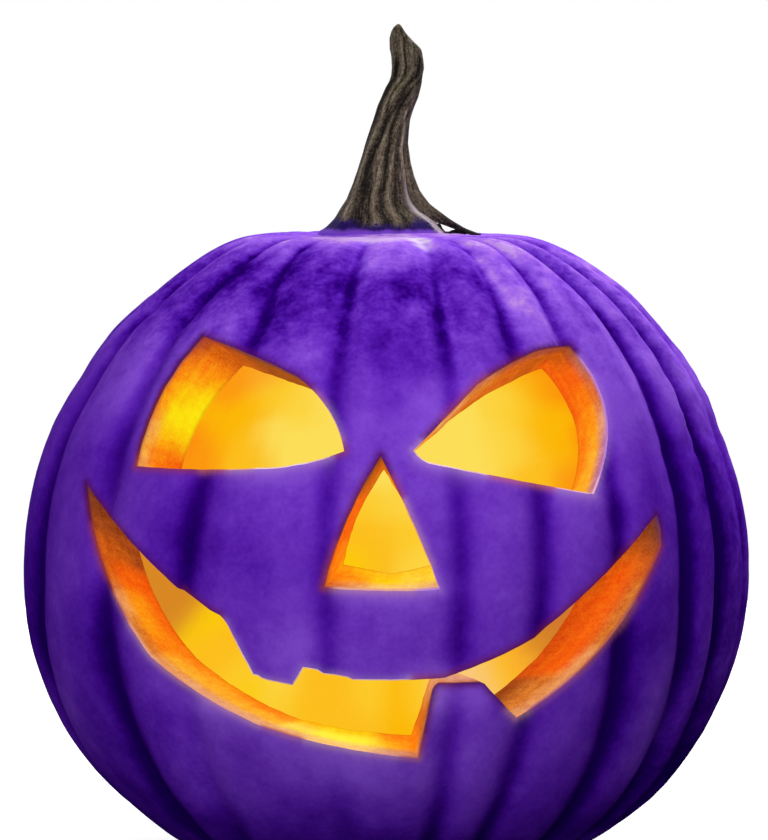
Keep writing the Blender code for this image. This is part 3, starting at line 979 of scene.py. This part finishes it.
# ---- how the light lies in the hollow, on the wall behind the cuts: across, height, paint
HOLLOW_LIGHT = (
    (-88, 176, "orange"), (-82, 172, "amber"), (-79, 184, "gold"), (-70, 194, "amber"), (-61, 202, "amber"),
    (-54, 200, "marigold"), (-70, 176, "gold"), (-60, 184, "gold"), (-60, 168, "honey"), (-49, 190, "yellow"),
    (-49, 172, "pale"), (-38, 184, "butter"), (-38, 168, "pale"), (-25, 168, "pale"), (-25, 184, "pale"),
    (20, 164, "pale"), (33, 172, "pale"), (42, 167, "pale"), (50, 188, "butter"), (50, 170, "butter"),
    (59, 198, "honey"), (59, 184, "yellow"), (59, 166, "butter"), (67, 196, "gold"), (68, 184, "gold"),
    (68, 171, "gold"), (68, 157, "honey"), (74, 176, "gold"), (79, 167, "gold"), (82, 155, "amber"),
    (88, 172, "orange"), (30, 190, "pale"), (64, 206, "orange"), (71, 195, "orange"),
    (-3, 152, "pale"), (-6, 139, "yellow"), (4, 138, "butter"), (-12, 124, "honey"), (-3, 124, "honey"),
    (8, 124, "yellow"), (-15, 112, "sunny"), (-3, 113, "honey"), (14, 112, "butter"),
    (-104, 110, "brass"), (-96, 104, "brass"), (-89, 97, "brass"), (-81, 90, "sunny"), (-79, 82, "honey"),
    (-71, 77, "honey"), (-64, 68, "yellow"), (-59, 61, "sunny"), (-46, 55, "yellow"), (-49, 62, "butter"),
    (-33, 56, "honey"), (-33, 49, "honey"), (-20, 54, "honey"), (-18, 45, "honey"), (-7, 55, "yellow"),
    (-7, 44, "honey"), (6, 55, "gold"), (6, 45, "gold"), (15, 56, "yellow"), (30, 62, "cream"),
    (42, 65, "cream"), (50, 68, "honey"), (59, 73, "marigold"), (68, 81, "brass"), (76, 90, "tan"),
    (0, 20, "amber"), (0, 235, "amber"),
)
# ---- the colour of the broken rind round the cuts: its own dark line, with painted shade where the glow from inside misses it and painted light where it catches it: across, height, paint
RIM_LIGHT = (
    # the left eye
    (-71, 227, "plum"), (-82, 216, "plum"), (-90, 203, "maroon"), (-95, 187, "maroon"),
    (-96, 179, "wine"), (-78, 180, "wine"), (-65, 181, "russet"), (-56, 181, "sandstone"),
    (-44, 182, "white"), (-34, 184, "white"), (-25, 186, "pink"), (-16, 189, "wine"),
    (-18, 195, "pink"), (-21, 201, "pink"), (-25, 206, "sand"), (-30, 211, "maroon"),
    (-37, 215, "plum"), (-48, 219, "plum"), (-61, 224, "plum"),
    # the right eye
    (11, 188, "pink"), (16, 185, "white"), (24, 182, "white"), (33, 180, "pink"), (44, 178, "russet"),
    (58, 175, "russet"), (71, 172, "pink"), (79, 170, "pink"), (82, 183, "lilac"), (84, 196, "lilac"),
    (84, 206, "lilac"), (78, 216, "lilac"), (71, 225, "plum"), (60, 225, "plum"), (45, 219, "maroon"),
    (33, 211, "wine"), (25, 204, "wine"), (16, 195, "maroon"),
    # the nose
    (-3, 185, "plum"), (-12, 173, "maroon"), (-17, 161, "maroon"), (-21, 150, "wine"),
    (-23, 139, "wine"), (-16, 138, "rose"), (-6, 137, "rose"), (6, 137, "rose"), (17, 137, "lilac"),
    (20, 139, "lilac"), (14, 151, "sandstone"), (9, 165, "sandstone"), (4, 176, "wine"),
    (0, 183, "plum"),
    # the mouth
    (-116, 168, "plum"), (-108, 158, "maroon"), (-95, 147, "plum"), (-84, 138, "plum"),
    (-72, 130, "maroon"), (-64, 126, "maroon"), (-59, 121, "lilac"), (-55, 112, "white"),
    (-50, 104, "white"), (-43, 102, "pink"), (-36, 100, "pink"), (-33, 104, "white"),
    (-31, 107, "white"), (-117, 162, "maroon"), (-113, 150, "wine"), (-107, 136, "wine"),
    (-102, 126, "sand"), (-95, 114, "sandstone"), (-91, 108, "sandstone"), (-83, 102, "peach"),
    (-68, 94, "sandstone"), (-55, 87, "sandstone"), (-39, 81, "sand"), (-23, 78, "cream"),
    (-12, 75, "cream"), (0, 73, "rose"), (10, 71, "sand"), (12, 75, "wine"), (15, 88, "maroon"),
    (19, 101, "plum"), (27, 102, "plum"), (37, 101, "plum"), (43, 94, "plum"), (49, 87, "peach"),
    (58, 93, "heather"), (67, 100, "heather"), (76, 107, "rosewood"), (89, 121, "rosewood"),
    (101, 137, "wine"), (105, 146, "wine"), (107, 153, "maroon"), (103, 159, "plum"),
    (85, 142, "maroon"), (71, 129, "maroon"), (61, 121, "maroon"), (56, 117, "maroon"),
    (47, 113, "maroon"), (37, 109, "maroon"), (30, 106, "maroon"), (22, 104, "wine"), (14, 103, "wine"),
    (4, 102, "white"), (-7, 102, "white"), (-16, 104, "pink"), (-25, 106, "white"),
)
# ---- painted highlights (+) and painted shade (-) on the skin round the stem's foot: across, depth, how pale, reach
CROWN_HIGHLIGHTS_AND_SHADE = (
    (12, -36, 0.30, 6), (13, -48, 0.40, 4), (15, -58, 0.45, 4), (16, -67, 0.30, 3), (-3, -38, 0.45, 8),
    (1, -52, 0.40, 6), (-12, -46, 0.40, 6), (-22, -38, 0.30, 7), (-16, -63, -0.35, 5), (-31, -52, -0.50, 5),
    (-35, -44, -0.20, 5), (22, -45, -0.35, 5), (27, -54, -0.30, 6), (31, -50, 0.45, 3), (36, -62, 0.40, 3),
    (40, -72, 0.30, 3), (45, -45, 0.25, 9),
)
# ---- a painted white highlight there: across, depth, how white, reach
WHITE_HIGHLIGHT = (
    (10, -38, 0.70, 6), (13, -48, 0.60, 5), (14, -57, 0.35, 4), (-14, -42, 0.20, 8), (-2, -46, 0.25, 8),
)
EVEN_TONE = 0.56                # the skin's tone where nothing is listed
CROWN = (200, 250)              # the skin is rougher and more mottled above these heights,
CHEEK = (42, 72, 115, 165)      # and on the right, where it comes and goes between these turns
SKIN_SIDE = (0.14, 0.38)        # shares of the wall where the paint near the skin gives way
HOLLOW_SIDE = (0.52, 0.88)      # and where the one at the hollow takes over
WALL_REACH, HOLLOW_REACH, RIM_REACH = 4.0, 5.0, 2.6     # how far apart listed paints blend
LIT_FROM_BELOW = Vector((-0.35, 0, -0.94))              # the edges that light the skin face this way
GLOW, GLOW_REACH = 0.46, 4.8    # how strongly they light it, and how far
RIM_COLOUR_REACH = 2.1               # how far the rim's colour spreads onto it: its dark line, painted shade and painted glow
NEAR_EDGE, NEAR_WALL = 12, 4    # only points this near a cut's edge, or its wall, are marked from it


# =============================================================================== marks for the finishes
def colours_of(names):
    """Paints by name, as a shader takes them."""
    return np.array([light_of(*PAINTS[name])[:3] for name in names])


def blend(here, there, given, reach):
    """At each point, the given values of the nearest places, blended over the reach."""
    made = np.zeros((len(here), given.shape[1]))
    total = np.full(len(here), 1e-12)
    for place, value in zip(there, given):
        away = ((here - place) ** 2).sum(axis=1) / reach ** 2
        weight = np.exp(-away / 2) + 1e-4 / (1 + away) ** 2
        made += weight[:, None] * value
        total += weight
    return made / total[:, None]


def rim_stain_and_shade_of(name):
    """How far a paint of the rim spreads onto the skin: the dark ones, its dark line and painted shade, do,
    the pale ones hardly.
    """
    return min(max(1.2 - 1.25 * sum(PAINTS[name]) / 765, 0.1), 1.0)


def glow_of(name):
    """How far a paint of the rim lights the skin beside it: only the pale ones do."""
    return min(max((sum(PAINTS[name]) - 380) / 220, 0), 1)


def round_the_axis(found):
    """Where points lie: height above the belt, distance from the leaning axis, turn."""
    up = found[:, 2] - BELT
    across = found[:, 0] - LEAN * up
    return up, np.hypot(across, found[:, 1]), np.degrees(np.arctan2(across, -found[:, 1]))


def mark_ribs(body, found):
    """The grooves' painted shade, and the ways along which the skin is mottled."""
    up, radius, turn = round_the_axis(found)
    keep = np.where(up > 0, smooth(*SHADE_ABOVE, radius), smooth(*RIBS_BELOW, radius))
    _, shade = rib_shape(turn, up)
    paint_points(body, "groove", shade * keep)
    paint_points(body, "side", np.sin(np.radians(turn)))
    paint_points(body, "front", np.cos(np.radians(turn)))
    paint_points(body, "run", np.arctan2(up, np.maximum(radius, 1)))


def mark_tones(body, found):
    """The skin's painted light and shade, its painted white highlight, and how rough and how lumpy it is."""
    up, _, turn = round_the_axis(found)
    # painted light and shade, laid over the even tone
    tone = np.full(len(found), EVEN_TONE)
    for at, high, much, wide, tall in SKIN_LIGHT_AND_SHADE:
        away = (turn - at + 180) % 360 - 180
        tone += much * np.exp(-((away / wide) ** 2) - ((found[:, 2] - high) / tall) ** 2)
    # painted highlights and painted shade round the stem's foot
    for across, deep, much, reach in CROWN_HIGHLIGHTS_AND_SHADE:
        away = np.hypot(found[:, 0] - across, found[:, 1] - deep)
        tone += much * np.exp(-((away / reach) ** 2)) * (up > 100)
    paint_points(body, "tone", tone)
    # a painted white highlight
    frost = np.zeros(len(found))
    for across, deep, much, reach in WHITE_HIGHLIGHT:
        away = np.hypot(found[:, 0] - across, found[:, 1] - deep)
        frost = np.maximum(frost, much * np.exp(-((away / reach) ** 4)) * (up > 100))
    paint_points(body, "frost", frost)
    crown = smooth(*CROWN, found[:, 2])
    cheek = smooth(*CHEEK[:2], turn) * (1 - smooth(*CHEEK[2:], turn))
    paint_points(body, "rough", 0.48 + 0.75 * crown + 0.25 * cheek)
    paint_points(body, "lumpy", 0.5 + 2.2 * crown + cheek)


def mark_edges(body, rims, found, rim_stain_and_glow):
    """Painted light, and the rim's dark line and painted shade, that the cuts leave on the skin beside them.
    """
    every = [p for rim in rims for p in rim]
    near = nearest([point for point, _ in every])
    halo = np.zeros(len(found))
    edge = np.zeros(len(found))
    for i, p in enumerate(found):
        if p[1] < 0:
            _, which, away = near.find(p)
            if away < NEAR_EDGE:
                lit = max(every[which][1].dot(LIT_FROM_BELOW), 0)
                halo[i] = math.exp(-((away / GLOW_REACH) ** 2)) * lit * GLOW * rim_stain_and_glow[i, 1]
                edge[i] = math.exp(-((away / RIM_COLOUR_REACH) ** 2)) * rim_stain_and_glow[i, 0]
    paint_points(body, "halo", halo)
    paint_points(body, "edge", edge)


def mark_walls(body, cut_walls, found):
    """Light on the cut walls, from each point's place on its wall."""
    names = list(cut_walls)
    every = [(name,) + p for name in names for p in cut_walls[name]]
    near = nearest([p[1] for p in every])
    depth = np.zeros(len(found))
    along = np.zeros(len(found))
    edge = np.zeros((len(found), 2))
    which = np.full(len(found), -1)
    for i, p in enumerate(found):
        if p[1] < 0:
            _, n, away = near.find(p)
            if away < NEAR_WALL:
                name, _, share, x, z, run = every[n]
                depth[i], along[i], edge[i], which[i] = share, run, (x, z), names.index(name)
    paint_points(body, "depth", depth)
    paint_points(body, "along", along)
    lit = np.zeros((len(found), 3))
    for k, name in enumerate(names):
        mine = which == k
        there = np.array([(x, z) for x, z, *_ in WALL_LIGHT[name]])
        layers = []
        for paints in list(zip(*WALL_LIGHT[name]))[2:]:
            layers.append(blend(edge[mine], there, colours_of(paints), WALL_REACH))
        share = depth[mine][:, None]
        outside = np.interp(share, SKIN_SIDE, (0, 1))
        inside = np.interp(share, HOLLOW_SIDE, (0, 1))
        lit[mine] = layers[0] * (1 - outside) + layers[1] * outside
        lit[mine] = lit[mine] * (1 - inside) + layers[2] * inside
    paint_colours(body, "wall_light", lit)


def mark_body(body, rims, cut_walls):
    """All that the finishes read from the body's points."""
    found = places(body) / MM
    seen = found[:, [0, 2]]
    there = np.array([(x, z) for x, z, _ in HOLLOW_LIGHT])
    given = colours_of([name for *_, name in HOLLOW_LIGHT])
    paint_colours(body, "hollow_light", blend(seen, there, given, HOLLOW_REACH))
    there = np.array([(x, z) for x, z, _ in RIM_LIGHT])
    given = colours_of([name for *_, name in RIM_LIGHT])
    paint_colours(body, "rim_light", blend(seen, there, given, RIM_REACH))
    rim_stains_and_glows = np.array([(rim_stain_and_shade_of(name), glow_of(name)) for *_, name in RIM_LIGHT])
    mark_edges(body, rims, found, blend(seen, there, rim_stains_and_glows, RIM_REACH))
    mark_ribs(body, found)
    mark_tones(body, found)
    mark_walls(body, cut_walls, found)


# =============================================================================== putting it together
body = make_body()
body.data.materials.append(skin_made)
body_tree = BVHTree.FromObject(body, bpy.context.evaluated_depsgraph_get())
hollow = make_hollow(hollow_made)
rims = []
plugs = []
cut_walls = {}
for cut_name, cut_corners in CUTS.items():
    rings, rim, cut_walls[cut_name] = cut_through(cut_corners, body_tree)
    plugs.append(make_plug(cut_name, rings, (rind_made, flesh_made)))
    rims.append(rim)
split_near_edges(body, rims)
cut_away(body, hollow)
for plug in plugs:
    cut_away(body, plug)
mark_body(body, rims, cut_walls)
work_on(body)
bpy.ops.object.shade_smooth_by_angle(angle=math.radians(40))


# =============================================================================== the stem
def bark(turn, height):
    """How much ridge (+) or crack (-) there is at places of the stem."""
    made = np.zeros_like(turn)
    for strength, wide, way in BARK:
        high, at = np.array(way).T
        away = (turn - np.interp(height, high, at) + 180) % 360 - 180
        ends = smooth(high[0] - 4, high[0], height) * (1 - smooth(high[-1], high[-1] + 4, height))
        made += strength * np.exp(-((away / wide) ** 2)) * ends
    return made


def stem_places(turn, height, reach):
    """Points of the stem: reach 1 is its outside."""
    rows = np.array(STEM)
    left = np.interp(height, rows[:, 0], rows[:, 1])
    right = np.interp(height, rows[:, 0], rows[:, 2])
    half = (right - left) / 2
    ridge = bark(turn, height)
    tops = np.array(TOP)
    a = np.radians(turn)
    across = half * reach * np.sin(a)
    above = np.interp((left + right) / 2 + across, tops[:, 0], tops[:, 1])
    share = np.clip((height - TOP_FROM) / (STEM[-1][0] - TOP_FROM), 0, 1)
    risen = np.where(height > TOP_FROM, TOP_FROM + share * (above - TOP_FROM), height)
    under = above - risen
    ending = np.clip(1 - under / 2.2, 0, 1)
    facing = 1 - 0.8 * np.sin(a) ** 2
    shape = (1 + RIDGE_OUT * (ridge - 0.3) * facing) * (1 - TOP_IN * ending ** 3)
    lumps = np.empty(len(turn))
    for i, (t, h) in enumerate(zip(turn, height)):
        lumps[i] = noise.noise(Vector((t * 0.05, h * 0.06, 2))) * 0.018
        lumps[i] += noise.noise(Vector((t * 0.3, h * 0.1, 7))) * 0.012
    shape = (shape + lumps) * reach
    flat = 1 - FOOT_FLAT * (1 - smooth(*FOOT_ROUNDS, height))
    x = (left + right) / 2 + half * shape * np.sin(a)
    y = -half * shape * np.cos(a) * flat
    return np.stack([x, y, risen], axis=1), ridge


def lit_side(turn, height, at, reach, full, gone):
    """Pale light on one side of the stem, up to where it is gone."""
    return np.exp(-(((turn - at) / reach) ** 2)) * (1 - smooth(full, gone, height))


def split_lengthways(piece, cuts, least):
    """More rows along a standing cylinder."""
    work_on(piece)
    bpy.ops.object.mode_set(mode="EDIT")
    bpy.ops.mesh.select_all(action="DESELECT")
    bpy.ops.mesh.select_mode(type="EDGE")
    shape = bmesh.from_edit_mesh(piece.data)
    for e in shape.edges:
        a, b = e.verts
        if abs(a.co.z - b.co.z) > least:
            e.select = True
    bmesh.update_edit_mesh(piece.data)
    bpy.ops.mesh.subdivide(number_cuts=cuts)
    bpy.ops.object.mode_set(mode="OBJECT")


def make_stem():
    """The ridged stem with its foot in the skin, its broken top, and the two strands."""
    low, high = STEM[0][0], STEM[-1][0]
    pick_nothing()
    bpy.ops.mesh.primitive_cylinder_add(
        vertices=STEM_SIDES, radius=0.01, depth=(high - low) * MM, end_fill_type="TRIFAN",
        location=(0, 0, (low + high) / 2 * MM)
    )
    stem = bpy.context.active_object
    stem.name = stem.data.name = "stem"
    settle(stem)
    split_lengthways(stem, STEM_ROWS, 0.001)
    x, y, height = (places(stem) / MM).T
    turn = np.degrees(np.arctan2(x, -y))
    reach = np.minimum(np.hypot(x, y) / 10, 1)
    made, ridge = stem_places(turn, height, reach)
    put(stem, made * MM)
    paint_points(stem, "ridge", ridge)
    paint_points(stem, "around", np.radians(turn - TWIST * smooth(*TWISTED, height)))
    paint_points(stem, "along", height)
    meets = FOOT_LINE + 2.6 * smooth(22, 45, np.abs(turn)) + 0.5 * np.cos(np.radians(turn * 5 + 40))
    root_lit = lit_side(turn, height, *ROOT_LIT)
    paint_points(stem, "foot", (1 - smooth(-2.8, 2.4, made[:, 2] - meets)) * (1 - root_lit))
    paint_points(stem, "low", 1 - smooth(265.4, 268.4, made[:, 2]))
    lit = lit_side(turn, height, *SIDE_LIT) * smooth(266, 270, height)
    paint_points(stem, "blush", np.clip(lit * 0.5 + root_lit, 0, 1))
    stem.data.materials.append(stem_made)
    for number, path in enumerate((STRAND, SHADOW_LINE_THREAD)):
        add_strand(stem, path, number)
    work_on(stem)
    bpy.ops.object.shade_smooth_by_angle(angle=math.radians(60))
    return stem


def add_strand(stem, path, number):
    """A strand of the bark that leaves the stem and lies down on the shoulder."""
    rows = np.array(path)
    pick_nothing()
    bpy.ops.mesh.primitive_cylinder_add(
        vertices=STRAND_SIDES, radius=0.01, depth=1.0, end_fill_type="TRIFAN"
    )
    strand = bpy.context.active_object
    strand.data.materials.append(stem_made)
    split_lengthways(strand, STRAND_ROWS, 0.5)
    x, y, z = places(strand).T
    share = np.linspace(0, 1, len(rows))
    t = 0.5 - z

    def along(where):
        return np.stack([np.interp(np.clip(where, 0, 1), share, rows[:, k]) for k in range(2)], axis=1)

    middle = along(t)
    way = along(t + 0.03) - along(t - 0.03)
    way /= np.hypot(way[:, 0], way[:, 1])[:, None]
    a = np.arctan2(y, x)
    size = np.interp(t, share, rows[:, 2]) * np.minimum(np.hypot(x, y) / 0.01, 1)
    size = size * (1 + 0.12 * np.cos(3 * a + t * 5))
    across = np.cos(a) * size
    made = np.stack([
        middle[:, 0] - way[:, 1] * across,
        STRAND_DEPTH + np.sin(a) * size * 1.2,
        middle[:, 1] + way[:, 0] * across,
    ], axis=1)
    put(strand, made * MM)
    # the thinner strand is darker still, a dark line for the shadow under the stem's foot
    paint_points(strand, "ridge", 0.1 - 0.9 * smooth(0.45, 0.75, t) - 0.6 * number)
    paint_points(strand, "around", a * 0.4)
    paint_points(strand, "along", z * 60)
    for name in ("foot", "low", "blush"):
        paint_points(strand, name, np.zeros(len(t)))
    faces_out(strand)
    work_on(stem)
    strand.select_set(True)
    bpy.ops.object.join()


stem = make_stem()

# =============================================================================== floor and light
LIGHT_AIM = (0, 0, 0.15)
LIGHT_AWAY = 1.7
# ---- the soft boxes: turn and rise round the pumpkin (degrees), size, power
LIGHTS = {
    "front_low": (-15, -4, 1.3, 11.5),
    "front": (-15, 15, 1.3, 3.4),
    "front_high": (2, 45, 1.3, 6.6),
    "above": (95, 72, 1.0, 11.0),
    "behind_right": (150, 30, 1.3, 27.0),
    "behind_left": (-150, 30, 1.3, 7.0),
}

pick_nothing()
bpy.ops.mesh.primitive_circle_add(vertices=96, radius=0.85, fill_type="NGON", location=(0, 0, 0))
floor = bpy.context.active_object
floor.name = "floor"


def floor_finish():
    """White paper to the eye, and dull to the light that bounces off it."""
    made, place, shader = start_finish("pale_floor")
    give(shader, Base_Color=light_of(230, 230, 230), Roughness=0.9, Specular_IOR_Level=0.1,
         Emission_Color=(1, 1, 1, 1), Emission_Strength=0.6)
    seen = place.node("ShaderNodeLightPath")
    dull = place.node("ShaderNodeBsdfDiffuse", {}, {"Color": (0.16, 0.16, 0.16, 1)})
    shown = Stuff(place.tree, shader.outputs["BSDF"])
    both = place.node("ShaderNodeMixShader", {}, {0: seen, 1: dull, 2: shown})
    place.tree.links.new(both.socket, place.tree.nodes["Material Output"].inputs["Surface"])
    return made


floor.data.materials.append(floor_finish())

world = bpy.data.worlds.new("studio")
bpy.context.scene.world = world
world.use_nodes = True
sky = Stuff(world.node_tree, world.node_tree.nodes["Background"].outputs[0])
dim = sky.node("ShaderNodeBackground", {}, {"Color": (0.9, 0.95, 1, 1), "Strength": 0.02})
white = sky.node("ShaderNodeBackground", {}, {"Color": (1, 1, 1, 1), "Strength": 1.0})
both = sky.node("ShaderNodeMixShader", {}, {0: sky.node("ShaderNodeLightPath"), 1: dim, 2: white})
world.node_tree.links.new(both.socket, world.node_tree.nodes["World Output"].inputs["Surface"])


def soft_light(name, turn, rise, size, power):
    """A round soft box that faces the pumpkin."""
    a, e = math.radians(turn), math.radians(rise)
    aim = Vector(LIGHT_AIM)
    ahead = Vector((math.sin(a) * math.cos(e), -math.cos(a) * math.cos(e), math.sin(e)))
    place = aim + LIGHT_AWAY * ahead
    bpy.ops.object.light_add(type="AREA", location=place)
    lamp = bpy.context.active_object
    lamp.name = name
    lamp.data.shape = "DISK"
    lamp.data.size = size
    lamp.data.energy = power
    lamp.rotation_euler = (aim - place).to_track_quat("-Z", "Y").to_euler()


for light_name, light_row in LIGHTS.items():
    soft_light(light_name, *light_row)

bpy.context.scene.view_settings.view_transform = "Standard"

# =============================================================================== what moves with what
for piece in (body, stem):
    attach(piece, "root")
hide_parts("pumpkin")
